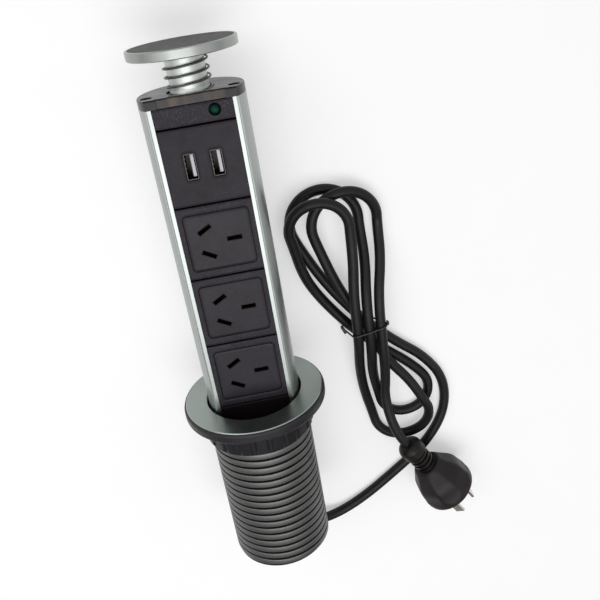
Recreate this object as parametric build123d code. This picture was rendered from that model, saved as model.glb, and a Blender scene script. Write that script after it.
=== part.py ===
# Pop-up desk socket: a threaded barrel clamped through a desk top, and a D-section
# tower that slides up out of it with three outlets, two charging ports and a
# sprung knob. It lies on its back with its lead tied in a hank beside it.
# Millimetres. The tower's axis is Y, with the knob at +Y. The outlets face +Z.
# The origin is on the axis, in the flange's seating plane, and the unit lies on
# the plane one flange radius below it.

from build123d import *
import math
import os

os.makedirs("parts", exist_ok=True)

# Clearances shared by all pieces
overrun = 1.0
slide_gap = 0.3
press_gap = 0.05
end_gap = 0.3
seam_gap = 0.6

# Tower tube
tower_radius = 26.5
tower_bottom = -51.0
tower_wall = 1.6
lip_drop = 11.9
lip_thickness = 1.9
lip_width = 2.617
boss_radius = 2.7
boss_inset = 4.1
boss_drop = 7.6
rear_boss_inset = 8.25
screw_hole_radius = 1.3

# Flange
flange_rim = 1.15
flange_height = 5.6
flange_taper = 0.5
flange_taper_height = 1.2
flange_edge_round = 1.2
flange_recess = 0.4
ring_width = 12.7
ring_hole_gap = 1.05
ring_thickness = 1.2
ring_stand = 0.8
ring_edge = 0.45

# Barrel
barrel_bore_gap = 1.1
barrel_wall = 1.2
thread_depth = 0.7
barrel_length = 102.8
barrel_lip = 1.6
barrel_lip_height = 1.5
barrel_end_edge = 0.5

# Washer and clamp nut
washer_width = 1.8
washer_thickness = 1.6
nut_width = 2.4
nut_height = 13.8
nut_bore_gap = 0.1
nut_edge = 0.8
nut_flutes = 22
flute_radius = 2.6
flute_depth = 0.9

# Guide inside the barrel
guide_depth = 12.0
friction_ring_height = 4.0
friction_gap = 0.1

# Modules in the tower's face
panel_sink = 0.2
panel_side_gap = 0.2
panel_front_depth = 2.0
shoulder_reach = 1.1
shoulder_depth = 2.1
box_side_gap = 0.78
box_boss_gap = 5.95
top_blank_height = 10.2
lower_blank_height = 59.4
module_pitch = 39.85
panel_edge = 0.3

# Outlet fronts
insert_side = 2.8
insert_end = 4.725
insert_round = 2.0
insert_thickness = 2.6
insert_groove = 0.35
slot_length = 7.6
slot_width = 2.3
live_slot_x = 6.88
live_slot_y = 6.86
earth_slot_x = 7.4
slot_tilt = 30.0

# Contacts behind the slots
chamber_length = 9.4
chamber_width = 4.6
chamber_back = 3.6
contact_length = 8.6
contact_width = 3.8
contact_share = 0.62
contact_sheet = 0.7
rivet_radius = 0.8
rivet_offset = 3.1

# Busbars and terminal block
busbar_width = 3.4
busbar_thickness = 1.0
block_half = 13.0
block_height = 20.0
block_drop = 8.4
block_boss_gap = 2.55
terminal_screw_radius = 1.9
terminal_screw_depth = 6.0
terminal_head_height = 1.8

# Charging ports
usb_box_height = 24.0
usb_box_back = 0.0
port_drop = 19.7
port_offset = 6.6
port_long = 13.2
port_short = 5.8
port_sheet = 0.35
port_round = 0.8
port_gap = 0.3
port_sink = 0.3
tongue_long = 11.1
tongue_thickness = 1.9
tongue_shift = 0.95
tongue_recess = 2.2
tongue_root = 3.0
board_thickness = 1.6
board_margin = 2.8

# Indicator
lens_x = 10.2
lens_drop = 4.3
lens_radius = 2.7
lens_rim = 0.4
lens_stand = 0.2
lens_seat = 2.0
led_radius = 1.5
led_length = 3.6

# End cap
cap_height = 4.6
cap_round = 0.8
cap_corner = 4.58
cap_strip_depth = 1.0
cap_spigot_boss_gap = 3.7
cap_spigot_box_gap = 0.4
cap_spigot_depth = 2.4
spring_seat_depth = 2.0
spring_seat_gap = 0.35
screw_pocket_gap = 0.4
screw_pocket_depth = 2.2
screw_head_radius = 2.6
screw_head_height = 1.6
screw_shank_gap = 0.05
screw_length = 9.0
screw_drive_radius = 1.0
screw_drive_depth = 0.8

# Knob
knob_overhang = 0.55
knob_thickness = 4.6
knob_lift = 17.7
knob_edge = 0.4
knob_rim = 1.45
inlay_depth = 1.0
inlay_gap = 0.1
stem_box_gap = 0.7
stem_wall = 2.0
stem_tail = 3.6
stem_spigot_radius = 4.0
stem_spigot = 2.5
collar_wall = 0.45
collar_height = 3.4
collar_flare = 1.2
clip_width = 1.95
clip_thickness = 1.0
clip_groove = 0.7
clip_mouth = 10.0

# Knob spring
spring_wire = 1.2
spring_stem_gap = 0.75
spring_quarters = 19
spring_start = 200.0

# Tail cap and gland
tail_cap_height = 6.0
tail_cap_rim = 0.8
tail_cap_flat_rise = 1.8
tail_edge = 0.6
gland_height = -8.0
gland_radius = 5.0
gland_flange_radius = 6.6
gland_flange = 2.0
gland_nose_radius = 4.4
gland_nose = 4.0
core_radius = 1.2
core_spacing = 3.2

# Cord
exit_measured = -63.0
cord_diameter = 6.4
cord_layer = 7.0
tie_lift = 1.9
tie_wire = 1.2
tie_gap = 0.3

# Plug
plug_rear_x = 89.74
plug_rear_y = -71.23
plug_height_above = 19.93
plug_heading = -59.1
plug_tilt = -1.6
plug_collar_radius = 8.3
plug_collar = 9.6
plug_collar_round = 5.0
plug_neck_radius = 7.2
plug_rib_depth = 1.0
plug_ribs = 4
plug_rib = 1.7
plug_neck_end = 23.2
plug_shoulder_radius = 9.0
plug_body_radius = 18.45
plug_dome_end = 46.6
plug_front = 52.2
plug_front_round = 1.0
plug_facets = 8
facet_turn = 86.8
facet_rear = 9.3
facet_front = 17.5
pin_circle = 7.92
earth_pin_reach = 10.31
pin_width = 6.35
pin_thickness = 1.63
pin_length = 17.06
earth_pin_length = 20.0
pin_root = 3.0
pin_roll = 2.7

# Places that follow from the sizes above
ring_hole_radius = tower_radius + ring_hole_gap
ring_radius = ring_hole_radius + ring_width
flange_radius = ring_radius + flange_rim
floor = -flange_radius
barrel_bore_radius = tower_radius + barrel_bore_gap
barrel_radius = barrel_bore_radius + barrel_wall
barrel_crest_radius = barrel_radius + thread_depth
ring_top = flange_height + ring_stand
ring_under = ring_top - ring_thickness
lip_seat = ring_under - barrel_lip_height
tower_inner = tower_radius - tower_wall
lip_face = tower_radius - lip_drop
lip_back = lip_face - lip_thickness
lip_inner = math.sqrt(tower_radius**2 - lip_face**2) - lip_width
boss_reach = tower_radius - boss_inset
boss_height = lip_face - boss_drop
rear_boss_height = rear_boss_inset - tower_radius
boss_x = math.sqrt(boss_reach**2 - boss_height**2)
rear_boss_x = math.sqrt(boss_reach**2 - rear_boss_height**2)
panel_face = lip_face - panel_sink
panel_half = lip_inner - panel_side_gap
shoulder_half = lip_inner + shoulder_reach
shoulder_top = panel_face - panel_front_depth
box_half = boss_x - boss_radius - box_side_gap
box_front = shoulder_top - shoulder_depth
box_back = rear_boss_height + boss_radius + box_boss_gap
face_lines = [tower_bottom + lower_blank_height + module_pitch * n for n in (4, 3, 2, 1, 0)]
tower_top = face_lines[0] + top_blank_height
guide_bottom = tower_bottom + end_gap
cap_top = tower_top + cap_height
spring_floor = cap_top - spring_seat_depth
spigot_end = tower_top - cap_spigot_depth
clip_top = spigot_end - end_gap
stem_end = clip_top - stem_tail + clip_thickness
stem_radius = box_front - stem_box_gap
knob_underside = cap_top + knob_lift
knob_radius = tower_radius + knob_overhang
inlay_radius = knob_radius - knob_rim
cap_spigot_radius = boss_reach - boss_radius - cap_spigot_boss_gap
cap_spigot_flat = box_front - cap_spigot_box_gap
tail_under = tower_bottom - tail_cap_height
gland_end = tail_under - gland_flange - gland_nose


def prism(outline, y_from, y_to):
    """A cross-section drawn in X and Z, run along the tower's axis."""
    plane = Plane(origin=(0, y_to, 0), x_dir=(1, 0, 0), z_dir=(0, -1, 0))
    return extrude(plane * outline, amount=y_to - y_from)


def plate(outline, z_from, z_to):
    """An outline drawn in X and Y, run up from one height to another."""
    return extrude(Plane.XY.offset(z_from) * outline, amount=z_to - z_from)


def turned(points):
    """A profile of (radius, Y) points turned about the tower's axis."""
    return revolve(make_face(Polyline(*points, close=True)), Axis.Y)


def ring(inner, outer, y_from, y_to):
    """A plain ring about the tower's axis."""
    return turned([(inner, y_from), (outer, y_from), (outer, y_to), (inner, y_to)])


def d_outline(radius, flat):
    """A circle with its top cut off flat."""
    below = Pos(0, flat) * Rectangle(2 * radius, 2 * radius, align=(Align.CENTER, Align.MAX))
    return Circle(radius) & below


def band(half, z_from, z_to):
    """A rectangle in X and Z, centred across the tower."""
    return Pos(0, z_from) * Rectangle(2 * half, z_to - z_from, align=(Align.CENTER, Align.MIN))


def save(shape, name):
    """Writes one piece."""
    export_step(shape, os.path.join("parts", name + ".step"))


# Barrel: a tube with a small lip that the flange holds
barrel = turned([
    (barrel_bore_radius, -barrel_length),
    (barrel_radius - barrel_end_edge, -barrel_length),
    (barrel_radius, -barrel_length + barrel_end_edge),
    (barrel_radius, lip_seat),
    (barrel_radius + barrel_lip, lip_seat),
    (barrel_radius + barrel_lip, ring_under),
    (barrel_bore_radius, ring_under),
])
save(barrel, "barrel")

# Flange base: stepped inside for the barrel's lip and the metal ring
base_hole = barrel_radius + press_gap
lip_recess = barrel_radius + barrel_lip + press_gap
ring_recess = ring_radius + press_gap
nut_bore = barrel_crest_radius + nut_bore_gap
nut_radius = nut_bore + nut_width
seat_radius = nut_radius + seam_gap
flange_base = turned([
    (base_hole, flange_recess),
    (seat_radius, flange_recess),
    (seat_radius, 0),
    (flange_radius, 0),
    (flange_radius, flange_height - flange_taper_height),
    (flange_radius - flange_taper, flange_height),
    (ring_recess, flange_height),
    (ring_recess, ring_under),
    (lip_recess, ring_under),
    (lip_recess, lip_seat),
    (base_hole, lip_seat),
])
flange_lower_edge = flange_base.edges().filter_by(GeomType.CIRCLE).group_by(Axis.Y)[0].sort_by(SortBy.RADIUS)[-1]
flange_base = fillet(flange_lower_edge, flange_edge_round)
save(flange_base, "flange_base")

# Metal ring on top of the flange, with bright bevelled edges
flange_ring = turned([
    (ring_hole_radius, ring_under),
    (ring_radius, ring_under),
    (ring_radius, ring_top - ring_edge),
    (ring_radius - ring_edge, ring_top),
    (ring_hole_radius + ring_edge, ring_top),
    (ring_hole_radius, ring_top - ring_edge),
])
save(flange_ring, "flange_ring")

# Guide bush and friction ring: round outside, D-shaped inside, so the tower can't turn
guide_outline = Circle(barrel_bore_radius - press_gap)
guide_hole = d_outline(tower_radius + slide_gap, lip_face + slide_gap)
guide_bush = prism(guide_outline - guide_hole, guide_bottom, -guide_depth)
save(guide_bush, "guide_bush")
friction_hole = d_outline(tower_radius + friction_gap, lip_face + friction_gap)
friction_top = friction_ring_height - guide_depth
friction_ring = prism(guide_outline - friction_hole, -guide_depth, friction_top)
save(friction_ring, "friction_ring")

# Washer and fluted clamp nut under the desk
washer_radius = nut_bore + washer_width
washer_top = -end_gap
washer_bottom = washer_top - washer_thickness
slip_washer = ring(nut_bore, washer_radius, washer_bottom, washer_top)
save(slip_washer, "slip_washer")
nut_top = washer_bottom - end_gap
nut_bottom = nut_top - nut_height
clamp_nut = turned([
    (nut_bore, nut_bottom),
    (nut_radius - nut_edge, nut_bottom),
    (nut_radius, nut_bottom + nut_edge),
    (nut_radius, nut_top - nut_edge),
    (nut_radius - nut_edge, nut_top),
    (nut_bore, nut_top),
])
flute_reach = nut_radius - flute_depth + flute_radius
flutes = PolarLocations(flute_reach, nut_flutes) * Circle(flute_radius)
clamp_nut -= prism(Sketch() + flutes, nut_bottom - overrun, nut_top + overrun)
save(clamp_nut, "clamp_nut")

# Tower: a D-section tube, open along its face between two lips, with screw bosses
tower_outline = d_outline(tower_radius, lip_face)
tower_outline -= d_outline(tower_inner, lip_back)
boss_places = [
    (boss_x, boss_height),
    (-boss_x, boss_height),
    (rear_boss_x, rear_boss_height),
    (-rear_boss_x, rear_boss_height),
]
for x, z in boss_places:
    tower_outline += Pos(x, z) * Circle(boss_radius)
tower_outline -= band(lip_inner, lip_back - overrun, lip_face + overrun)
for x, z in boss_places:
    tower_outline -= Pos(x, z) * Circle(screw_hole_radius)
tower_extrusion = prism(tower_outline, tower_bottom, tower_top)
save(tower_extrusion, "tower_extrusion")


def facing(y_from, y_to, back):
    """A face plate that slides in behind the tower's lips, down to a given back."""
    front = prism(band(panel_half, shoulder_top, panel_face), y_from, y_to)
    front = chamfer(front.edges().filter_by(Axis.X).group_by(Axis.Z)[-1], panel_edge)
    rear = prism(band(shoulder_half, box_front, shoulder_top), y_from, y_to)
    body = front + rear
    if back < box_front:
        body += prism(band(box_half, back, box_front), y_from, y_to)
    return body


# Top blank with the indicator, and the lower blank behind the guide
top_blank = facing(face_lines[0] + seam_gap / 2, tower_top, box_front)
lens_place = Pos(lens_x, tower_top - lens_drop)
lens_seat_z = panel_face - lens_seat
led_back = lens_seat_z - led_length
top_blank -= plate(lens_place * Circle(lens_radius + lens_rim), lens_seat_z, panel_face + overrun)
top_blank -= plate(lens_place * Circle(led_radius + press_gap), led_back, lens_seat_z)
save(top_blank, "top_blank")
lens_top = panel_face + lens_stand
lens = plate(lens_place * Circle(lens_radius), lens_seat_z, lens_top)
lens = fillet(lens.edges().group_by(Axis.Z)[-1], lens_stand)
save(lens, "indicator_lens")
save(plate(lens_place * Circle(led_radius), led_back, lens_seat_z), "indicator_led")
lower_blank = facing(tower_bottom + cap_spigot_depth, face_lines[4] - seam_gap / 2, box_front)
save(lower_blank, "lower_blank")

# Charging module: a boxed plate with two upright ports on a small board
usb_from = face_lines[1] + seam_gap / 2
usb_to = face_lines[0] - seam_gap / 2
usb_module = facing(usb_from, usb_to, box_front)
port_centre_y = face_lines[0] - port_drop
usb_low = port_centre_y - usb_box_height / 2
usb_high = port_centre_y + usb_box_height / 2
usb_module += prism(band(box_half, usb_box_back, box_front), usb_low, usb_high)
port_outline = RectangleRounded(port_short, port_long, port_round)
port_hole = RectangleRounded(port_short + 2 * port_gap, port_long + 2 * port_gap, port_round + port_gap)
port_bore = RectangleRounded(port_short - 2 * port_sheet, port_long - 2 * port_sheet, port_round - port_sheet)
port_front = panel_face - port_sink
for side, name in ((-1, "left"), (1, "right")):
    place = Pos(side * port_offset, port_centre_y)
    usb_module -= plate(place * port_hole, usb_box_back - overrun, panel_face + overrun)
    shell = plate(place * (port_outline - port_bore), usb_box_back, port_front)
    save(shell, "usb_shell_" + name)
    root = plate(place * port_bore, usb_box_back, usb_box_back + tongue_root)
    tongue_place = Pos(side * port_offset + tongue_shift, port_centre_y)
    blade = tongue_place * Rectangle(tongue_thickness, tongue_long)
    tongue = root + plate(blade, usb_box_back, port_front - tongue_recess)
    save(tongue, "usb_tongue_" + name)
save(usb_module, "usb_module")
board_outline = Pos(0, port_centre_y) * Rectangle(2 * (box_half - board_margin), usb_box_height)
save(plate(board_outline, usb_box_back - board_thickness, usb_box_back), "usb_board")

# Outlet modules: body, front insert with three slots, and the contacts behind them.
# The slots keep their own tilt, and each contact has a rivet through to its busbar.
slot_places = [
    (-live_slot_x, live_slot_y, slot_tilt, -1),
    (-live_slot_x, -live_slot_y, -slot_tilt, 1),
    (earth_slot_x, 0, 0, 0),
]


def rivet_place(slot):
    """Where a slot's rivet lies, from the module's centre."""
    x, y, tilt, side = slot
    reach = side * rivet_offset
    return (x + reach * math.cos(math.radians(tilt)), y + reach * math.sin(math.radians(tilt)))


insert_width = 2 * (panel_half - insert_side)
insert_height = module_pitch - 2 * insert_end
insert_outline = RectangleRounded(insert_width, insert_height, insert_round)
pocket_outline = RectangleRounded(
    insert_width + 2 * insert_groove, insert_height + 2 * insert_groove, insert_round + insert_groove)
pocket_floor = panel_face - insert_thickness
chamber_floor = box_back + chamber_back
contact_height = (pocket_floor - chamber_floor) * contact_share
for count in range(3):
    high = face_lines[1 + count]
    low = face_lines[2 + count]
    centre = Pos(0, (high + low) / 2)
    body = facing(low + seam_gap / 2, high - seam_gap / 2, box_back)
    body -= plate(centre * pocket_outline, pocket_floor, panel_face + overrun)
    insert = plate(centre * insert_outline, pocket_floor, panel_face)
    contacts = []
    for slot in slot_places:
        x, y, tilt, side = slot
        at = centre * Pos(x, y) * Rot(0, 0, tilt)
        insert -= plate(at * Rectangle(slot_length, slot_width), pocket_floor - overrun, panel_face + overrun)
        body -= plate(at * Rectangle(chamber_length, chamber_width), chamber_floor, pocket_floor + overrun)
        rivet_at = centre * Pos(*rivet_place(slot))
        body -= plate(rivet_at * Circle(rivet_radius + press_gap), box_back - overrun, chamber_floor)
        clip = plate(at * Rectangle(contact_length, contact_width), chamber_floor, chamber_floor + contact_height)
        inside = Rectangle(contact_length + overrun, contact_width - 2 * contact_sheet)
        clip -= plate(at * inside, chamber_floor + contact_sheet, chamber_floor + contact_height + overrun)
        clip += plate(rivet_at * Circle(rivet_radius), box_back, chamber_floor + contact_sheet)
        contacts.append(clip)
    number = str(count + 1)
    save(body, "outlet_body_" + number)
    save(insert, "outlet_insert_" + number)
    save(Compound(children=contacts), "outlet_contacts_" + number)

# Busbars down the back of the outlets to the terminal block
busbar_top = face_lines[1] - seam_gap / 2
block_top = face_lines[4] - block_drop
busbar_back = box_back - busbar_thickness
for slot, name in zip(slot_places, ("live", "neutral", "earth")):
    x = rivet_place(slot)[0]
    outline = Pos(x, (busbar_top + block_top) / 2) * Rectangle(busbar_width, busbar_top - block_top)
    save(plate(outline, busbar_back, box_back), "busbar_" + name)
block_low = block_top - block_height
block_back = rear_boss_height + boss_radius + block_boss_gap
block_outline = Pos(0, (block_top + block_low) / 2) * Rectangle(2 * block_half, block_height)
block = plate(block_outline, block_back, box_front)
terminal_screws = []
for slot in slot_places:
    at = Pos(rivet_place(slot)[0], (block_top + block_low) / 2)
    block -= plate(at * Circle(terminal_screw_radius + press_gap), block_back - overrun,
                   block_back + terminal_screw_depth)
    screw_back = block_back + terminal_screw_depth - terminal_head_height
    terminal_screws.append(plate(at * Circle(terminal_screw_radius), screw_back,
                                 block_back + terminal_screw_depth))
save(block, "terminal_block")
save(Compound(children=terminal_screws), "terminal_screws")

# End cap: corner feet stand proud of the front strip, with pockets for two screws,
# a seat for the spring and a hole for the knob's stem
cap_outline = d_outline(tower_radius, lip_face)
cap_outline -= Pos(0, lip_face - cap_strip_depth) * Rectangle(
    2 * (boss_x - cap_corner), overrun + cap_strip_depth, align=(Align.CENTER, Align.MIN))
cap = prism(cap_outline, tower_top, cap_top)
cap = fillet(cap.edges().group_by(Axis.Y)[-1], cap_round)
cap += prism(d_outline(cap_spigot_radius, cap_spigot_flat), spigot_end, tower_top)
cap -= prism(Circle(stem_radius + press_gap), spigot_end - overrun, cap_top + overrun)
spring_mean_radius = stem_radius + spring_wire / 2 + spring_stem_gap
spring_outer = spring_mean_radius + spring_wire / 2
cap -= prism(Circle(spring_outer + spring_seat_gap), spring_floor, cap_top + overrun)
screw_seat = cap_top - screw_pocket_depth
front_screws = []
for x in (boss_x, -boss_x):
    at = Pos(x, boss_height)
    cap -= prism(at * Circle(screw_head_radius + screw_pocket_gap), screw_seat, cap_top + overrun)
    cap -= prism(at * Circle(screw_hole_radius), tower_top - overrun, cap_top + overrun)
    screw = prism(at * Circle(screw_head_radius), screw_seat, screw_seat + screw_head_height)
    screw += prism(at * Circle(screw_hole_radius - screw_shank_gap), screw_seat - screw_length, screw_seat)
    drive = RegularPolygon(screw_drive_radius, 6)
    head_top = screw_seat + screw_head_height
    screw -= prism(at * drive, head_top - screw_drive_depth, head_top + overrun)
    front_screws.append(screw)
save(cap, "end_cap")
save(Compound(children=front_screws), "end_cap_screws")

# Bright collar round the stem's foot, inside the spring
collar_inner = stem_radius + press_gap
collar_radius = collar_inner + collar_wall
stem_collar = turned([
    (collar_inner, spring_floor),
    (collar_radius, spring_floor),
    (collar_radius, spring_floor + collar_flare),
    ((collar_radius + collar_inner) / 2, spring_floor + collar_height),
    (collar_inner, spring_floor + collar_height),
])
save(stem_collar, "stem_collar")

# Knob disc with a recessed inlay, hollow stem, and the clip that keeps it in
knob_top = knob_underside + knob_thickness
knob_disc = turned([
    (0, knob_underside),
    (knob_radius - knob_edge, knob_underside),
    (knob_radius, knob_underside + knob_edge),
    (knob_radius, knob_top - knob_edge),
    (knob_radius - knob_edge, knob_top),
    (inlay_radius, knob_top),
    (inlay_radius, knob_top - inlay_depth),
    (0, knob_top - inlay_depth),
])
knob_disc -= prism(Circle(stem_spigot_radius + press_gap), knob_underside - overrun, knob_underside + stem_spigot)
save(knob_disc, "knob_disc")
inlay_top = knob_top - inlay_gap
save(prism(Circle(inlay_radius - inlay_gap), knob_top - inlay_depth, inlay_top), "knob_inlay")
stem_bore = stem_radius - stem_wall
stem_groove = stem_radius - clip_groove
clip_bottom = clip_top - clip_thickness
clip_radius = stem_groove + press_gap + clip_width
knob_stem = turned([
    (0, knob_underside - stem_wall),
    (stem_bore, knob_underside - stem_wall),
    (stem_bore, stem_end),
    (stem_radius, stem_end),
    (stem_radius, clip_bottom - press_gap),
    (stem_groove, clip_bottom - press_gap),
    (stem_groove, clip_top + press_gap),
    (stem_radius, clip_top + press_gap),
    (stem_radius, knob_underside),
    (stem_spigot_radius, knob_underside),
    (stem_spigot_radius, knob_underside + stem_spigot),
    (0, knob_underside + stem_spigot),
])
save(knob_stem, "knob_stem")
clip_outline = Circle(clip_radius) - Circle(stem_groove + press_gap)
clip_outline -= Pos(0, clip_radius) * Rectangle(clip_mouth, clip_radius)
save(prism(clip_outline, clip_bottom, clip_top), "stem_clip")


def biarc(start, start_way, end, end_way):
    """Two arcs that leave and arrive along the given ways."""
    chord = end - start
    ways = start_way + end_way
    a = ways.dot(ways) - 4
    b = -2 * chord.dot(ways)
    c = chord.dot(chord)
    reach = (-b - math.sqrt(b * b - 4 * a * c)) / (2 * a)
    middle = (start + start_way * reach + end - end_way * reach) * 0.5
    first = Edge.make_tangent_arc(start, start_way, middle)
    second = Edge.make_tangent_arc(middle, first.tangent_at(1), end)
    return [first, second]


# Knob spring: one wire in quarter turns, from its seat in the end cap to the knob
spring_low = spring_floor + spring_wire / 2 + press_gap
spring_high = knob_underside - spring_wire / 2 - press_gap
spring_rise = (spring_high - spring_low) / spring_quarters


def spring_point(quarter):
    """A point on the spring's centre line and the way it runs there."""
    turn = math.radians(spring_start - 90 * quarter)
    spot = Vector(spring_mean_radius * math.cos(turn), spring_low + spring_rise * quarter,
                  spring_mean_radius * math.sin(turn))
    along = spring_mean_radius * math.pi / 2
    way = Vector(along * math.sin(turn), spring_rise, -along * math.cos(turn)).normalized()
    return spot, way


spring_edges = []
for quarter in range(spring_quarters):
    spot, way = spring_point(quarter)
    next_spot, next_way = spring_point(quarter + 1)
    spring_edges += biarc(spot, way, next_spot, next_way)
spring_path = Wire(spring_edges)
spring_section = Plane(origin=spring_path @ 0, z_dir=spring_path % 0) * Circle(spring_wire / 2)
knob_spring = sweep(spring_section, path=spring_path)
save(knob_spring, "knob_spring")
spring_turn_rise = 4 * spring_rise
print("spring: volume", round(knob_spring.volume, 1),
      "section x length", round(math.pi * spring_wire**2 / 4 * spring_path.length, 1),
      "least gap", round(spring_turn_rise - spring_wire, 2))

# Tail cap: wider than the guide's hole, so it stops the tower at the top of its travel
tail_cap_outline = d_outline(tower_radius + tail_cap_rim, lip_face + tail_cap_flat_rise)
tail_cap = prism(tail_cap_outline, tail_under, tower_bottom)
tail_cap = chamfer(tail_cap.edges().group_by(Axis.Y)[0], tail_edge)
tail_cap += prism(d_outline(cap_spigot_radius, cap_spigot_flat), tower_bottom, tower_bottom + cap_spigot_depth)
gland_place = Pos(0, gland_height)
tail_cap -= prism(gland_place * Circle(gland_radius + press_gap), tail_under - overrun,
                  tower_bottom + cap_spigot_depth + overrun)
tail_seat = tail_under + screw_pocket_depth
tail_screws = []
for x in (rear_boss_x, -rear_boss_x):
    at = Pos(x, rear_boss_height)
    tail_cap -= prism(at * Circle(screw_head_radius + screw_pocket_gap), tail_under - overrun, tail_seat)
    tail_cap -= prism(at * Circle(screw_hole_radius), tail_under - overrun, tower_bottom + overrun)
    screw = prism(at * Circle(screw_head_radius), tail_seat - screw_head_height, tail_seat)
    screw += prism(at * Circle(screw_hole_radius - screw_shank_gap), tail_seat, tail_seat + screw_length)
    head_end = tail_seat - screw_head_height
    drive = RegularPolygon(screw_drive_radius, 6)
    screw -= prism(at * drive, head_end - overrun, head_end + screw_drive_depth)
    tail_screws.append(screw)
save(tail_cap, "tail_cap")
save(Compound(children=tail_screws), "tail_cap_screws")

# Cable gland in the tail cap, and the three cores from it to the terminal block
gland_inner_end = tower_bottom + cap_spigot_depth
cable_gland = prism(gland_place * Circle(gland_radius), tail_under, gland_inner_end)
cable_gland += prism(gland_place * Circle(gland_flange_radius), tail_under - gland_flange, tail_under)
gland_nose_plane = Plane(origin=(0, tail_under - gland_flange, gland_height), x_dir=(1, 0, 0), z_dir=(0, -1, 0))
gland_tip_plane = Plane(origin=(0, gland_end, gland_height), x_dir=(1, 0, 0), z_dir=(0, -1, 0))
cable_gland += loft([gland_nose_plane * Circle(gland_radius), gland_tip_plane * Circle(gland_nose_radius)])
save(cable_gland, "cable_gland")
cores = []
for n in (-1, 0, 1):
    at = Pos(n * core_spacing, gland_height)
    cores.append(prism(at * Circle(core_radius), gland_inner_end, block_low))
save(Compound(children=cores), "core_wires")

# Cord: one unbroken route from the gland, over the floor, round the hank and on to
# the plug. Places of the free stretches are chosen by hand, in X, Y and layers above
# the floor. The hank's loops come from a centre, a radius and a number of points.
cord_radius = cord_diameter / 2


def layer(height, y):
    """The centre height of a cord lying in a layer, lifted a little at the tie."""
    lift = tie_lift * max(0, 1 - abs(y - tie_y) / tie_spread)
    return floor + cord_radius + height * cord_layer + lift


route_shift = gland_end - exit_measured
tie_y = 18.0 + route_shift
tie_spread = 46.0


def spot(x, y, height):
    """A cord point at X and Y in a layer, moved along with the gland."""
    return (x, y + route_shift, layer(height, y + route_shift))


def dropping(x, y, share):
    """A cord point part of the way down from the gland to the floor."""
    return (x, y + route_shift, gland_height + (layer(0, floor) - gland_height) * share)


def loop(centre_x, centre_y, radius, start, stop, count, heights):
    """Points round part of a loop, so that the cord's arcs keep the loop's radius."""
    step = (stop - start) / (count - 1)
    reach = radius / math.cos(math.radians(abs(step)) / 2)
    points = []
    for n in range(count):
        share = n / (count - 1)
        turn = math.radians(start + step * n)
        if share < 0.5:
            height = heights[0] + (heights[1] - heights[0]) * 2 * share
        else:
            height = heights[1] + (heights[2] - heights[1]) * (2 * share - 1)
        points.append(spot(centre_x + reach * math.cos(turn), centre_y + reach * math.sin(turn), height))
    return points


cord_exit = [
    dropping(0, -63, 0),
    dropping(0, -80, 0),
    dropping(3, -104, 0.1325),
    dropping(13, -124, 0.563),
    dropping(34, -134.5, 0.96),
]
cord_floor = [
    spot(57.5, -124.5, 0),
    spot(83.5, -105.5, 0),
    spot(106.5, -87, 0),
    spot(121.5, -63, 0),
    spot(122.5, -37, 0),
    spot(110, -16.5, 0),
]
hank_start = [spot(92, -1, 0)]
rises = [
    [spot(73, 19.5, 0), spot(54, 47, 0)],
    [spot(98, -17.5, 0), spot(83.5, -4.5, 0), spot(65.5, 15, 0), spot(49.5, 38, 0), spot(41, 57, 0.55)],
    [spot(97.5, -27, 1.15), spot(84.5, -9.5, 1.01), spot(73, 21, 1), spot(60.5, 46, 1)],
]
top_loops = [
    loop(58.5, 87, 20.5, 205, -15, 9, (0, 0, 0)),
    loop(54, 87, 17.5, 205, -15, 9, (1.1, 2.15, 1.9)),
    loop(70, 86, 20, 205, -15, 9, (1, 1.1, 0)),
]
falls = [
    [spot(79.3, 61, 0.7), spot(75.3, 38, 2.05), spot(75, 5, 2.08), spot(74.5, -16, 1.2)],
    [spot(70.8, 64, 2), spot(68.2, 42, 2), spot(67.8, 12, 2), spot(66.8, -10, 1.2), spot(68.3, -32, 0.3)],
    [spot(88.6, 61, 0.9), spot(82.8, 38, 2)],
]
low_loops = [
    loop(95, -40, 16.5, 175, 395, 9, (0.2, 0, 0)),
    loop(91, -56, 18, 175, 395, 9, (0, 0.25, 1.3)),
]
hank_end = [spot(82.2, 5, 2.1)]
plug_rear_z = floor + plug_height_above
plug_rear = Vector(plug_rear_x, plug_rear_y + route_shift, plug_rear_z)
plug_turn = math.radians(plug_heading)
plug_side = Vector(-math.sin(plug_turn), math.cos(plug_turn), 0)
plug_lean = math.radians(plug_tilt)
plug_way = Vector(math.cos(plug_turn) * math.cos(plug_lean), math.sin(plug_turn) * math.cos(plug_lean),
                  math.sin(plug_lean))
plug_straight = 12.0
plug_run = [
    spot(82, -17, 1.95),
    spot(79.6, -36, 1.75),
    tuple(plug_rear - plug_way * plug_straight),
    tuple(plug_rear),
]
hank_points = list(hank_start)
for rise, top, fall, low in zip(rises, top_loops, falls, low_loops + [[]]):
    hank_points += rise + top + fall + low
hank_points += hank_end
route = [Vector(*p) for p in cord_exit + cord_floor + hank_points + plug_run]
first_hank = len(cord_exit) + len(cord_floor)
last_hank = first_hank + len(hank_points) - 1

# Each arc is as large as its two runs allow
run_share = 0.45
radii = []
for before, here, after in zip(route, route[1:], route[2:]):
    shorter = min((here - before).length, (after - here).length)
    turn = math.radians((here - before).get_angle(after - here))
    radii.append(run_share * shorter / math.tan(turn / 2))


def cord_piece(first, last):
    """The cord's tube between two points of the route, cut in the middle of a run."""
    points = route[first:last + 1]
    if first > 0:
        points = [(route[first - 1] + route[first]) * 0.5] + points
    else:
        first = 1
    if last < len(route) - 1:
        points = points + [(route[last] + route[last + 1]) * 0.5]
    else:
        last = last - 1
    path = FilletPolyline(*points, radius=radii[first - 1:last])
    section = Plane(origin=path @ 0, z_dir=path % 0) * Circle(cord_radius)
    return sweep(section, path=path), path


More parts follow.
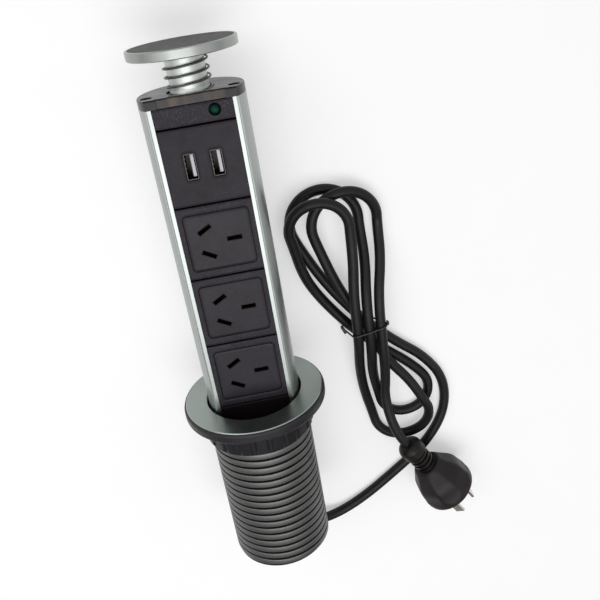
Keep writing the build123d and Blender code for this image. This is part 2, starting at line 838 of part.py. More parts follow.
pieces = [
    ("cord_lead", 0, first_hank - 1),
    ("cord_hank", first_hank, last_hank),
    ("plug_lead", last_hank + 1, len(route) - 1),
]
samples = []
length_before = 0
hank_begins = 0
for name, first, last in pieces:
    tube, path = cord_piece(first, last)
    if name == "cord_hank":
        hank_begins = length_before
    save(tube, name)
    print(name, "length", round(path.length, 1), "volume", round(tube.volume, 1),
          "section x length", round(math.pi * cord_radius**2 * path.length, 1))
    count = int(path.length)
    for n in range(count):
        samples.append((length_before + path.length * n / count, path @ (n / count)))
    length_before += path.length
print("cord radii", [round(r, 1) for r in radii])

# The least gap of the cord to itself, on points about a millimetre apart
apart = 4 * cord_diameter
cells = {}
for along, place in samples:
    key = tuple(math.floor(v / cord_layer / 2) for v in (place.X, place.Y, place.Z))
    cells.setdefault(key, []).append((along, place))
least = flange_radius
for (i, j, k), members in cells.items():
    near = [m for a in (-1, 0, 1) for b in (-1, 0, 1) for c in (-1, 0, 1)
            for m in cells.get((i + a, j + b, k + c), [])]
    for along, place in members:
        for other_along, other in near:
            if along - other_along > apart:
                least = min(least, (place - other).length)
print("cord least gap to itself", round(least - cord_diameter, 2), "lowest", round(
    min(p.Z for a, p in samples) - cord_radius - floor, 2))

# Wire tie at the hank's waist: the hull of the strands there, clear of each of them
tie_reach = cord_radius + tie_gap + tie_wire / 2
strands = []
for (along, here), (further, there) in zip(samples, samples[1:]):
    if along > hank_begins and (here.Y - tie_y) * (there.Y - tie_y) <= 0:
        way = (there - here).normalized()
        widened = (cord_radius + abs(way.X) * tie_wire / 2) / abs(way.Y) - cord_radius
        middle = (here + there) * 0.5
        strands.append((middle.Z, middle.X - widened, middle.X + widened))
strands.sort()
low_strands = strands[:2]
high_strands = strands[-3:]
low_z = strands[0][0]
high_z = strands[-1][0]
tie_corners = [
    (min(left for z, left, right in low_strands), low_z),
    (max(right for z, left, right in low_strands), low_z),
    (max(right for z, left, right in high_strands), high_z),
    (min(left for z, left, right in high_strands), high_z),
]
tie_plane = Plane(origin=(0, tie_y, 0), x_dir=(1, 0, 0), z_dir=(0, -1, 0))
tie_outline = offset(make_face(Polyline(*tie_corners, close=True)), amount=tie_reach, kind=Kind.ARC)
tie_path = (tie_plane * tie_outline).faces()[0].outer_wire()
tie_section = Plane(origin=tie_path @ 0, z_dir=tie_path % 0) * Circle(tie_wire / 2)
save(sweep(tie_section, path=tie_path), "cable_tie")
print("strands at the tie", len(strands), "tie above the floor", round(low_z - tie_reach - tie_wire / 2 - floor, 2))

# Plug: ribbed strain relief, domed body and three flat pins
plug_plane = Plane(origin=plug_rear, x_dir=plug_side, z_dir=plug_way)


def on_plug(shape):
    """Puts a shape built about Z in the plug's place."""
    return plug_plane.location * shape


def spun(points):
    """A profile of (radius, distance along the plug) points turned about Z."""
    return revolve(make_face(Polyline(*[(r, 0, s) for r, s in points], close=True)), Axis.Z)


neck_points = [(0, 0), (plug_collar_radius, 0), (plug_collar_radius, plug_collar)]
rib_pitch = (plug_neck_end - plug_collar) / plug_ribs
for n in range(plug_ribs):
    start = plug_collar + rib_pitch * n
    groove_end = start + rib_pitch - plug_rib
    neck_points += [
        (plug_neck_radius - plug_rib_depth, start),
        (plug_neck_radius - plug_rib_depth, groove_end),
        (plug_neck_radius, groove_end),
        (plug_neck_radius, start + rib_pitch),
    ]
neck_points.append((0, plug_neck_end))
plug_neck = spun(neck_points)
plug_neck = fillet(plug_neck.edges().filter_by(GeomType.CIRCLE).group_by(Axis.Z)[0], plug_collar_round)
save(on_plug(plug_neck), "plug_neck")

dome_slope = (plug_body_radius - plug_shoulder_radius) / (plug_dome_end - plug_neck_end) * math.pi / 2
dome = Spline((plug_shoulder_radius, 0, plug_neck_end), (plug_body_radius, 0, plug_dome_end),
              tangents=[(dome_slope, 0, 1), (0, 0, 1)])
body_edges = [
    Line((0, 0, plug_neck_end), (plug_shoulder_radius, 0, plug_neck_end)),
    dome,
    Line((plug_body_radius, 0, plug_dome_end), (plug_body_radius, 0, plug_front)),
    Line((plug_body_radius, 0, plug_front), (0, 0, plug_front)),
    Line((0, 0, plug_front), (0, 0, plug_neck_end)),
]
plug_body = revolve(make_face(body_edges), Axis.Z)
front_rim = plug_body.edges().filter_by(GeomType.CIRCLE).group_by(Axis.Z)[-1]
plug_body = fillet(front_rim, plug_front_round)
facet_lean = math.degrees(math.atan2(facet_front - facet_rear, plug_dome_end - plug_neck_end))
for n in range(plug_facets):
    facet = Rot(0, 0, facet_turn + 360 / plug_facets * n) * Pos(facet_rear, 0, plug_neck_end) * Rot(0, facet_lean, 0)
    plug_body -= facet * Box(plug_front, 2 * plug_body_radius, 2 * plug_front, align=(Align.MIN, Align.CENTER, Align.CENTER))
pins = []
pin_places = [
    (pin_circle, pin_roll, 30, pin_length),
    (pin_circle, pin_roll + 120, -30, pin_length),
    (earth_pin_reach, pin_roll + 240, 0, earth_pin_length),
]
for reach, around, lean, length in pin_places:
    turn = math.radians(around)
    at = Pos(reach * math.cos(turn), reach * math.sin(turn)) * Rot(0, 0, pin_roll + 60 + lean)
    blade = Rectangle(pin_width, pin_thickness)
    plug_body -= plate(at * blade, plug_front - pin_root, plug_front + overrun)
    pin = plate(at * blade, plug_front - pin_root, plug_front + length)
    pin = chamfer(pin.edges().group_by(Axis.Z)[-1], pin_thickness / 4)
    pins.append(pin)
plug_body = on_plug(plug_body)
save(plug_body, "plug_body")
print("plug above the floor", round(plug_body.bounding_box().min.Z - floor, 2), "plug's way", plug_way)
save(on_plug(Compound(children=pins)), "plug_pins")
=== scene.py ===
import math

import bmesh
import bpy
from mathutils import Matrix, Vector


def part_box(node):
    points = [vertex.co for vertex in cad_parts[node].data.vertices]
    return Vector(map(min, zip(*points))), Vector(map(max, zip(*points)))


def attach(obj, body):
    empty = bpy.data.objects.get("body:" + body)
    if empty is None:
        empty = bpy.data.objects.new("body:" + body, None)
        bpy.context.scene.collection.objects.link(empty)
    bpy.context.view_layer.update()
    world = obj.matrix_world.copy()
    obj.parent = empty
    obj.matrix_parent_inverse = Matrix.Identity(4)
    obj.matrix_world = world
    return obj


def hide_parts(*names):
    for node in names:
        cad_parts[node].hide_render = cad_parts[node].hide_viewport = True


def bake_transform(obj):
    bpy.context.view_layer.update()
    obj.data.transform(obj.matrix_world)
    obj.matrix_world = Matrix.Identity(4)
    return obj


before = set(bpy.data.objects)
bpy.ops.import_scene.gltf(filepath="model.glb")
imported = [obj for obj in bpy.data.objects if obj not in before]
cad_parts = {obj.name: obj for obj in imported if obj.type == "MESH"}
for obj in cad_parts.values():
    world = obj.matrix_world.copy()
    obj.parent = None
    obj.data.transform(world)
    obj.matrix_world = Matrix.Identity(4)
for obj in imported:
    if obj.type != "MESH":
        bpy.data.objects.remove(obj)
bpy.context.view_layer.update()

bl_info = {
    "name": "Pop-up Desk Socket",
    "version": (1, 0, 0),
    "blender": (4, 5, 0),
    "location": "3D View > Sidebar > Desk Socket",
    "description": "Dresses the pop-up desk socket: lead, thread, spring, tie, plug, finishes and studio",
    "category": "Object",
}

MM = 0.001
# The floor's height, in millimetres
FLOOR = -41.4
# Where the tie holds the hank, how far the strands rise there and over what length, in millimetres
TIE_PLACE = 18
TIE_LIFT = 1.9
TIE_SPREAD = 46
# Where the slots lie from an insert's centre, in millimetres, and their tilt in degrees
SLOTS = ((-6.88, 6.86, 30), (-6.88, -6.86, -30), (7.4, 0, 0))
# Depth of the fine relief on metal, and how far the tone of metal and of plastic wanders
METAL_RELIEF = 0.006 * MM
METAL_CLOUD = 0.08
PLASTIC_CLOUD = 0.25
# How deep the tower's rounded lips fall off, as a share of their width
LIP_FALL = 0.36
# From where to where a dark joint fades out and a plate's edge rounds off, by distance from the outline
JOINT = (0.13 * MM, 0.36 * MM)
ROUNDED_EDGE = (0.15 * MM, 1.15 * MM)
# The camera's place in millimetres, and its directions to the right, upwards and backwards
CAMERA_PLACE = (22.383, 239.514, 354.457)
CAMERA_AXES = (
    (0.98251031, -0.14878484, 0.11196675),
    (0.18107308, 0.90363789, -0.38813799),
    (-0.04342835, 0.40162374, 0.91477448),
)
# Half the floor's width, in metres
FLOOR_REACH = 4


def at(x, y, z):
    """A point of the row frame, given in millimetres."""
    return Vector((x, y, z)) * MM


def blended(a, b, share):
    return a + (b - a) * share


def shade(colour, amount):
    return tuple(min(1.0, c * amount) for c in colour)


# ---------------------------------------------------------------- settings


def millimetres(name, about, size, **limits):
    """A size that a user may change, given here in millimetres."""
    return bpy.props.FloatProperty(
        name=name, description=about, default=size * MM, unit="LENGTH", **limits)


def degrees(name, about, angle):
    return bpy.props.FloatProperty(
        name=name, description=about, default=math.radians(angle), subtype="ANGLE", unit="ROTATION")


def paint(name, about, colour):
    return bpy.props.FloatVectorProperty(
        name=name, description=about, default=colour, subtype="COLOR", min=0, max=1)


class LeadSettings(bpy.types.PropertyGroup):
    diameter: millimetres("Diameter", "Outside diameter of the lead's sheath", 6.4, min=0.001)
    length: bpy.props.FloatProperty(
        name="Length", description="Length of the lead from the gland to the plug",
        default=1.424, min=0.1, unit="LENGTH")
    layer: millimetres("Layer", "Height of one strand above the strand that it crosses", 7.0)
    relief_length: millimetres(
        "Relief length", "Length of the tapered sleeve where the lead leaves the gland", 24)
    relief_radius: millimetres("Relief radius", "Radius of the sleeve at the gland", 4.9)


class ThreadSettings(bpy.types.PropertyGroup):
    root: millimetres("Root radius", "Radius of the barrel between the ridges", 28.8)
    depth: millimetres("Depth", "Height of the ridge above the root", 0.7)
    pitch: millimetres("Pitch", "Distance from one ridge to the next", 5.0)
    groove: millimetres("Groove", "Width of the groove between two ridges", 1.45)
    bottom: millimetres("Bottom", "Where the thread runs out at the barrel's open end", -100.4)
    turns: bpy.props.FloatProperty(
        name="Turns", description="Number of turns of the thread", default=19.4, min=1)


class SpringSettings(bpy.types.PropertyGroup):
    wire: millimetres("Wire", "Diameter of the spring's wire", 1.05)
    radius: millimetres("Mean radius", "Radius of the coil's centre line", 10.95)
    bottom: millimetres("Seat", "Underside of the spring, on the end cap", 180.6)
    top: millimetres("Top", "Upper side of the spring, under the knob", 200.3)
    turns: bpy.props.FloatProperty(
        name="Turns", description="Number of turns of the wire", default=4.75)
    start: degrees("Start", "Angle at which the lower end of the wire lies", 200)


class PortSettings(bpy.types.PropertyGroup):
    strip_length: millimetres("Strip length", "Length of one contact strip in a port", 5.2)
    strip_width: millimetres("Strip width", "Width of one contact strip", 1.0)
    strip_pitch: millimetres("Strip pitch", "Distance from one strip to the next", 2.4)
    strips: bpy.props.IntProperty(
        name="Strips", description="Number of strips in each port", default=4, min=1)


class TieSettings(bpy.types.PropertyGroup):
    wire: millimetres("Wire", "Thickness of the tie's coated wire", 1.1)
    place: millimetres("Place", "Where along the hank the tie holds it", TIE_PLACE)
    slope: millimetres("Slope", "How far the wire slants along the hank from one side to the other", 5)
    tail: millimetres("Tail", "Length of the twisted end", 6.5)


class PlugSettings(bpy.types.PropertyGroup):
    heading: degrees("Heading", "Direction in which the plug points, on the floor", -59.1)
    tilt: degrees("Tilt", "How far the plug's face tips down towards the floor", 1.6)
    voxel: millimetres("Fineness", "Size of the cells in which the body is moulded", 0.55, min=0.0003)
    softening: bpy.props.IntProperty(
        name="Softening", description="Rounds of smoothing that melt the facets' edges", default=26, min=0)
    swell: millimetres("Swell", "How far the body's middle stands out beyond a straight cone", 2.2)
    swell_place: millimetres("Swell place", "Where along the plug the body stands out most", 36)
    swell_length: millimetres("Swell length", "Length over which the swell dies away", 7.5)
    rear_height: millimetres("Rear height", "Height of the plug's cord end above the floor", 19.93)


class FinishSettings(bpy.types.PropertyGroup):
    anodised: paint("Anodised", "Colour of the tower's satin aluminium", (0.353, 0.378, 0.365))
    thread: paint("Threaded barrel", "Colour of the barrel's aluminium", (0.155, 0.157, 0.153))
    ring: paint("Ring", "Colour of the flange's metal ring", (0.315, 0.355, 0.33))
    bright: paint("Bright metal", "Colour of the knob's stem and collar", (0.50, 0.52, 0.50))
    black: paint("Black plastic", "Colour of the moulded black plastic", (0.0205, 0.0178, 0.0230))
    sheath: paint("Sheath", "Colour of the lead's sheath", (0.0068, 0.0058, 0.0068))
    lens: paint("Lens", "Colour of the indicator's lens", (0.0, 0.062, 0.036))


class FaceSettings(bpy.types.PropertyGroup):
    slot_length: millimetres("Slot length", "Length of an outlet's slot", 7.6)
    slot_width: millimetres("Slot width", "Width of an outlet's slot", 2.3)
    # The dark band round a slot is painted shade, where its broken edge falls away into the slot
    slot_shade_width: millimetres("Slot edge", "Width of the dark broken edge round a slot", 0.62)
    corner: millimetres("Insert corner", "Corner radius of the outlets' inserts", 2.6)
    lip_round: millimetres(
        "Lip rounding", "Width over which the tower's front lips round off outwards", 0.9)


class StageSettings(bpy.types.PropertyGroup):
    lens: bpy.props.FloatProperty(
        name="Focal length", description="Focal length of the camera, in millimetres", default=42.796)
    overhead: bpy.props.FloatProperty(
        name="Overhead light", description="Power of the soft light above the tower", default=6.0, unit="POWER")
    key: bpy.props.FloatProperty(
        name="Key light", description="Power of the soft light at the upper left", default=2.0, unit="POWER")
    room: bpy.props.FloatProperty(
        name="Room light", description="Strength of the pale room around the object", default=0.5, min=0)
    floor_tone: bpy.props.FloatProperty(
        name="Floor", description="Paleness of the floor", default=0.64, min=0, max=1, subtype="FACTOR")
    floor_glow: bpy.props.FloatProperty(
        name="Floor glow", description="Share of white that the floor shows on its own", default=0.42,
        min=0, max=1, subtype="FACTOR")


# ---------------------------------------------------------------- the lead's route


def spot(x, y, height):
    """A point over the floor, height counted in layers of the lead."""
    lead = bpy.context.scene.socket_lead
    lift = TIE_LIFT * max(0, 1 - abs(y - TIE_PLACE) / TIE_SPREAD)
    return (x, y, FLOOR + lead.diameter / MM / 2 + height * lead.layer / MM + lift)


def loop(x, y, radius, start, stop, count, heights):
    """The points around one loop of the hank, rising and falling from layer to layer."""
    step = (stop - start) / (count - 1)
    reach = radius / math.cos(math.radians(abs(step) / 2))
    points = []
    for i in range(count):
        share = i / (count - 1)
        if share <= 0.5:
            height = blended(heights[0], heights[1], share * 2)
        else:
            height = blended(heights[1], heights[2], share * 2 - 1)
        turn = math.radians(start + i * step)
        points.append(spot(x + reach * math.cos(turn), y + reach * math.sin(turn), height))
    return points


def plug_rear():
    return (89.74, -71.23, FLOOR + bpy.context.scene.socket_plug.rear_height / MM)


def plug_way():
    own = bpy.context.scene.socket_plug
    level = math.cos(own.tilt)
    return Vector((math.cos(own.heading) * level, math.sin(own.heading) * level, -math.sin(own.tilt)))


def lead_route():
    """The lead's points, from the gland to the back of the plug."""
    leaving = [(0, -63, -8), (0, -80, -8), (3, -104, -12), (13, -124, -25), (34, -134.5, -37)]
    across = [
        (57.5, -124.5, 0), (83.5, -105.5, 0), (106.5, -87, 0), (121.5, -63, 0), (122.5, -37, 0),
        (110, -16.5, 0), (92, -1, 0),
    ]
    rises = [
        [(73, 19.5, 0), (54, 47, 0)],
        [(98, -17.5, 0), (83.5, -4.5, 0), (65.5, 15, 0), (49.5, 38, 0), (41, 57, 0.55)],
        [(97.5, -27, 1.15), (84.5, -9.5, 1.01), (73, 21, 1), (60.5, 46, 1)],
    ]
    top_loops = [
        loop(58.5, 87, 20.5, 205, -15, 9, (0, 0, 0)),
        loop(54, 87, 17.5, 205, -15, 9, (1.1, 2.15, 1.9)),
        loop(70, 86, 20, 205, -15, 9, (1, 1.1, 0)),
    ]
    falls = [
        [(79.3, 61, 0.7), (75.3, 38, 2.05), (75, 5, 2.08), (74.5, -16, 1.2)],
        [(70.8, 64, 2), (68.2, 42, 2), (67.8, 12, 2), (66.8, -10, 1.2), (68.3, -32, 0.3)],
        [(88.6, 61, 0.9), (82.8, 38, 2), (82.2, 5, 2.1), (82, -17, 1.95), (79.6, -36, 1.75)],
    ]
    low_loops = [
        loop(95, -40, 16.5, 175, 395, 9, (0.2, 0, 0)),
        loop(91, -56, 18, 175, 395, 9, (0, 0.25, 1.3)),
        [],
    ]
    points = leaving + [spot(*p) for p in across]
    for rise, top, fall, low in zip(rises, top_loops, falls, low_loops):
        points += [spot(*p) for p in rise] + top + [spot(*p) for p in fall] + low
    rear, way = Vector(plug_rear()), plug_way()
    points += [tuple(rear - way * 12), tuple(rear)]
    return [at(*p) for p in points]


def route_curve(name, points):
    """One open smooth spline with these control points."""
    curve = bpy.data.curves.new(name, "CURVE")
    curve.dimensions = "3D"
    spline = curve.splines.new("NURBS")
    spline.points.add(len(points) - 1)
    for point, place in zip(spline.points, points):
        point.co = (*place, 1)
    spline.order_u = 3
    spline.use_endpoint_u = True
    spline.resolution_u = 10
    return curve


def line_of(curve):
    """The points along a curve that has no bevel, in order."""
    carrier = bpy.data.objects.new("line", curve)
    bpy.context.collection.objects.link(carrier)
    bpy.context.view_layer.update()
    ready = carrier.evaluated_get(bpy.context.evaluated_depsgraph_get())
    line = bpy.data.meshes.new_from_object(ready)
    points = [v.co.copy() for v in line.vertices]
    bpy.data.objects.remove(carrier)
    bpy.data.meshes.remove(line)
    return points


# ---------------------------------------------------------------- mesh helpers


def finished(mesh, material, smooth=True):
    """Gives a mesh its material and its shading."""
    mesh.materials.clear()
    mesh.materials.append(material)
    for face in mesh.polygons:
        face.use_smooth = smooth
    return mesh


def piece(name, mesh, material, smooth=True):
    """A new object at the origin, with its place in its mesh."""
    thing = bpy.data.objects.new(name, finished(mesh, material, smooth))
    bpy.context.collection.objects.link(thing)
    return thing


def sweep(bm, path, radii, sides):
    """Adds a tube along a path, closed at both ends, its radius changing from point to point."""
    rings = []
    side = (path[1] - path[0]).normalized().orthogonal().normalized()
    turns = [2 * math.pi * k / sides for k in range(sides)]
    for i, point in enumerate(path):
        before, after = path[max(i - 1, 0)], path[min(i + 1, len(path) - 1)]
        way = (after - before).normalized()
        side = (side - way * side.dot(way)).normalized()
        up = way.cross(side)
        rings.append([
            bm.verts.new(point + (side * math.cos(turn) + up * math.sin(turn)) * radii[i]) for turn in turns])
    for low, high in zip(rings, rings[1:]):
        for k in range(sides):
            bm.faces.new((low[k], low[(k + 1) % sides], high[(k + 1) % sides], high[k]))
    bm.faces.new(list(reversed(rings[0])))
    bm.faces.new(rings[-1])


def tube_mesh(name, runs, sides):
    """One mesh of tubes, each given by its path and the radii along it."""
    bm = bmesh.new()
    for path, radii in runs:
        sweep(bm, path, radii, sides)
    bmesh.ops.recalc_face_normals(bm, faces=bm.faces)
    mesh = bpy.data.meshes.new(name)
    bm.to_mesh(mesh)
    bm.free()
    return mesh


def hull(points):
    """The outline around flat points, turning one way."""
    points = sorted(points)
    halves = []
    for run in (points, points[::-1]):
        chain = []
        for p in run:
            while len(chain) > 1 and ((chain[-1][0] - chain[-2][0]) * (p[1] - chain[-2][1])
                                      <= (chain[-1][1] - chain[-2][1]) * (p[0] - chain[-2][0])):
                chain.pop()
            chain.append(p)
        halves += chain[:-1]
    return halves


def twisted(start, way, length, wire, turns):
    """Two wires wound around each other, as paths."""
    side = way.orthogonal().normalized()
    up = way.cross(side)
    apart = wire * 0.48
    steps = 40
    runs = []
    for phase in (0, math.pi):
        path = []
        for i in range(steps + 1):
            angle = phase + 2 * math.pi * turns * i / steps
            path.append(start + way * (length * i / steps)
                        + (side * math.cos(angle) + up * math.sin(angle)) * apart)
        runs.append((path, [wire / 2] * len(path)))
    return runs


# ---------------------------------------------------------------- node trees


class Wiring:
    """A node tree, with the calls that add its nodes and link them."""

    def __init__(self, tree):
        self.tree = tree
        self.nodes, self.links = tree.nodes, tree.links

    def feed(self, value, socket):
        if isinstance(value, bpy.types.NodeSocket):
            self.links.new(value, socket)
        else:
            socket.default_value = value

    def add(self, kind, links=None, **settings):
        node = self.nodes.new(kind)
        for key, value in settings.items():
            setattr(node, key, value)
        for key, value in (links or {}).items():
            self.feed(value, node.inputs[key])
        return node

    def math(self, operation, a, b=0.0):
        return self.add("ShaderNodeMath", {0: a, 1: b}, operation=operation).outputs[0]

    def span(self, value, low, high, low_out=0.0, high_out=1.0, **settings):
        """A value taken from one range to another, and held inside it."""
        return self.add("ShaderNodeMapRange", {
            "Value": value, "From Min": low, "From Max": high, "To Min": low_out, "To Max": high_out},
            **settings).outputs[0]


class Tree(Wiring):
    """A geometry node tree that makes one piece."""

    def __init__(self, name):
        super().__init__(bpy.data.node_groups.new(name, "GeometryNodeTree"))
        self.tree.interface.new_socket("Mesh", in_out="OUTPUT", socket_type="NodeSocketGeometry")
        self.inputs = []
        self.entry = self.nodes.new("NodeGroupInput")
        self.exit = self.nodes.new("NodeGroupOutput")

    def sizes(self, own, *keys):
        """A named input for each of these settings. The modifier gives it the setting's value."""
        for key in keys:
            name, value = own.bl_rna.properties[key].name, getattr(own, key)
            kind = "NodeSocketInt" if isinstance(value, int) else "NodeSocketFloat"
            socket = self.tree.interface.new_socket(name, in_out="INPUT", socket_type=kind)
            self.inputs.append((socket.identifier, value))
            yield self.entry.outputs[name]

    def make(self, name, geometry, material):
        """Runs the tree and returns its result as one plain mesh."""
        whole = self.add("GeometryNodeRealizeInstances", {"Geometry": geometry})
        dressed = self.add("GeometryNodeSetMaterial", {"Geometry": whole.outputs[0]})
        dressed.inputs["Material"].default_value = material
        self.links.new(dressed.outputs[0], self.exit.inputs[0])
        holder = bpy.data.objects.new(name, bpy.data.meshes.new(name + "_seed"))
        bpy.context.collection.objects.link(holder)
        modifier = holder.modifiers.new("Nodes", "NODES")
        modifier.node_group = self.tree
        for identifier, value in self.inputs:
            modifier[identifier] = value
        bpy.context.view_layer.update()
        ready = holder.evaluated_get(bpy.context.evaluated_depsgraph_get())
        mesh = bpy.data.meshes.new_from_object(ready)
        mesh.name = name
        holder.modifiers.remove(modifier)
        holder.data = mesh
        return holder


def turned_right(mesh):
    """Merges doubles and turns every face outwards."""
    bm = bmesh.new()
    bm.from_mesh(mesh)
    bmesh.ops.remove_doubles(bm, verts=bm.verts, dist=1e-7)
    bmesh.ops.recalc_face_normals(bm, faces=bm.faces)
    bm.to_mesh(mesh)
    bm.free()
    return mesh


# ---------------------------------------------------------------- finishes


class Finish(Wiring):
    """A material that is built on the row frame's own coordinates."""

    def __init__(self, name):
        self.material = bpy.data.materials.get(name) or bpy.data.materials.new(name)
        self.material.use_nodes = True
        super().__init__(self.material.node_tree)
        self.nodes.clear()
        self.end = self.nodes.new("ShaderNodeOutputMaterial")
        self.shader = self.nodes.new("ShaderNodeBsdfPrincipled")
        self.links.new(self.shader.outputs[0], self.end.inputs[0])
        self.place = self.nodes.new("ShaderNodeTexCoord").outputs["Object"]
        self.relief = None

    def axis(self, name):
        return self.add("ShaderNodeSeparateXYZ", {0: self.place}).outputs[name]

    def vector(self, operation, a, b=(0, 0, 0), result=0):
        return self.add("ShaderNodeVectorMath", {0: a, 1: b}, operation=operation).outputs[result]

    def stretched(self, x, y, z):
        return self.add("ShaderNodeMapping", {"Vector": self.place, "Scale": (x, y, z)}).outputs[0]

    def noise(self, scale, detail=2.0, rough=0.5, vector=None):
        return self.add("ShaderNodeTexNoise", {
            "Vector": vector or self.place, "Scale": scale, "Detail": detail, "Roughness": rough}).outputs[0]

    def radius(self):
        """Distance from the row's long axis."""
        squares = [self.math("POWER", self.axis(name), 2) for name in "XZ"]
        return self.math("SQRT", self.math("ADD", *squares))

    def tint(self, share, low, high):
        """A colour between two, by share. Each is a colour or comes from an earlier step."""
        node = self.add("ShaderNodeMix", {0: share}, data_type="RGBA")
        for value, socket in ((low, node.inputs[6]), (high, node.inputs[7])):
            self.feed(value if isinstance(value, bpy.types.NodeSocket) else (*value, 1), socket)
        return node.outputs[2]

    def clouded(self, share, colour, cloud):
        """The colour, a little darker or lighter from place to place."""
        return self.tint(self.span(share, 0.3, 0.7), shade(colour, 1 - cloud), shade(colour, 1 + cloud))

    def worn(self, share, roughness, high=0.7, rise=0.06):
        """The roughness, a little lower or higher from place to place."""
        return self.span(share, 0.3, high, roughness - 0.05, roughness + rise)

    def bump(self, height, strength, depth):
        """One more layer of relief, depth in metres."""
        links = {"Height": height, "Strength": strength, "Distance": depth}
        if self.relief is not None:
            links["Normal"] = self.relief
        self.relief = self.add("ShaderNodeBump", links).outputs[0]

    def done(self, colour, roughness, metallic=0.0, specular=0.5):
        self.feed(colour, self.shader.inputs["Base Color"])
        self.feed(roughness, self.shader.inputs["Roughness"])
        self.shader.inputs["Metallic"].default_value = metallic
        self.shader.inputs["Specular IOR Level"].default_value = specular
        if self.relief is not None:
            self.links.new(self.relief, self.shader.inputs["Normal"])
        return self.material


def moulded(name, colour, roughness, grain=0.5, relief=0.02, specular=0.5):
    """Moulded plastic: a fine spark-eroded grain, faint clouding and handling marks."""
    make = Finish(name)
    tone = make.clouded(make.noise(55, 3.0), colour, PLASTIC_CLOUD)
    make.bump(make.noise(1000 / grain, 3.0, 0.6), 0.5, relief * MM)
    marks = make.noise(240, 4.0, 0.65)
    return make.done(tone, make.worn(marks, roughness, 0.75, 0.07), specular=specular)


def metal(make, colour, roughness, lines, broad, share):
    """Ends a metal finish, its colour and roughness set by its lines and by broad patches."""
    mixed = make.math("ADD", make.math("MULTIPLY", lines, share), make.math("MULTIPLY", broad, 1 - share))
    return make.done(make.clouded(mixed, colour, METAL_CLOUD), make.worn(mixed, roughness), 1.0)


def satin(name, colour, roughness, along, lines=0.2, lip=None):
    """Anodised or brushed metal: fine lines along one direction over a blasted grain."""
    make = Finish(name)
    if lip:
        edge, width = lip
        fall = make.span(make.math("ABSOLUTE", make.axis("X")), edge - width, edge, 1.0, 0.0,
                         interpolation_type="SMOOTHSTEP")
        make.bump(fall, 1.0, width * LIP_FALL)
    stroke = make.noise(1400, 3.0, 0.6, make.stretched(*along))
    make.bump(stroke, 0.35, METAL_RELIEF)
    make.bump(make.noise(4000, 2.0, 0.6), 0.5, METAL_RELIEF)
    return metal(make, colour, roughness, stroke, make.noise(38, 2.0), lines)


def turned_metal(name, colour, roughness, lines=0.7):
    """Lathe-turned metal: fine rings around the long axis."""
    make = Finish(name)
    rings = make.add("ShaderNodeTexNoise", {"W": make.radius(), "Scale": 2600, "Detail": 3.0},
                     noise_dimensions="1D").outputs[0]
    make.bump(rings, 0.4, METAL_RELIEF)
    make.bump(make.noise(900, 2.0, 0.5, make.stretched(0.02, 1, 0.02)), 0.3, METAL_RELIEF)
    return metal(make, colour, roughness, rings, make.noise(45, 2.0), lines)


def rim_distance(make, middle, half, corner, tilt=0.0):
    """Distance from a rounded and tilted outline on the face, negative inside it."""
    turned = make.add("ShaderNodeVectorRotate", {
        "Vector": make.place, "Center": middle, "Angle": -math.radians(tilt)}, rotation_type="Z_AXIS")
    size = make.vector("ABSOLUTE", make.vector("SUBTRACT", turned.outputs[0], middle))
    past = make.vector("SUBTRACT", size, (half.x - corner, half.y - corner, 1.0))
    length = make.vector("LENGTH", make.vector("MAXIMUM", past), result="Value")
    parts = make.add("ShaderNodeSeparateXYZ", {0: past}).outputs
    inside = make.math("MINIMUM", make.math("MAXIMUM", parts[0], parts[1]), 0)
    return make.math("SUBTRACT", make.math("ADD", length, inside), corner)


def panel(node, colour, rims, speck, roughness=0.42, specular=0.15, slots=()):
    """A face plate: speckled black plastic, with rounded edges that fall off into dark joints, and painted
    shade round each slot and below the face.
    """
    own = bpy.context.scene.socket_face
    make = Finish(node + "_plastic")
    fine = make.noise(3600, 3.0, 0.6)
    flecks = make.span(make.noise(1350, 2.0, 0.6), 0.55, 0.72, 0.0, speck)
    face = make.tint(flecks, make.clouded(make.noise(55, 3.0), colour, 0.2), (0.10, 0.092, 0.115))
    joints_and_slot_shade, edge = 0.0, 1.0
    for outline, corner, offset in rims:
        low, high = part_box(outline)
        rim = rim_distance(make, (low + high) / 2, (high - low) / 2, corner)
        away = make.math("ABSOLUTE", make.math("SUBTRACT", rim, offset))
        joints_and_slot_shade = make.math("MAXIMUM", joints_and_slot_shade, make.span(away, *JOINT, 1.0, 0.0))
        edge = make.math("MINIMUM", edge, make.span(away, *ROUNDED_EDGE))
    low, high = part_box(node)
    # Painted shade: a dark band round each slot, joined to the real dark joints round the plates
    for x, y, tilt in slots:
        rim = rim_distance(make, (low + high) / 2 + at(x, y, 0),
                           Vector((own.slot_length, own.slot_width, 1)) / 2, 0.1 * MM, tilt)
        joints_and_slot_shade = make.math("MAXIMUM", joints_and_slot_shade, make.span(rim, own.slot_shade_width * 0.6, own.slot_shade_width, 1.0, 0.0))
    # Painted shade: whatever lies more than a little below the face, such as the slots' walls, is given the
    # dark colour
    painted_recess_shade = make.span(make.axis("Z"), high.z - 0.3 * MM, high.z - 0.05 * MM, 1.0, 0.0)
    # One dark colour serves the real joints and the painted shade
    tone = make.tint(make.math("MAXIMUM", joints_and_slot_shade, painted_recess_shade), face, (0.0052, 0.0032, 0.0046))
    make.bump(fine, 0.5, 0.03 * MM)
    make.bump(edge, 1.0, 0.22 * MM)
    rough = make.worn(make.noise(240, 4.0, 0.65), roughness, 0.75, 0.07)
    return make.done(tone, rough, specular=specular)


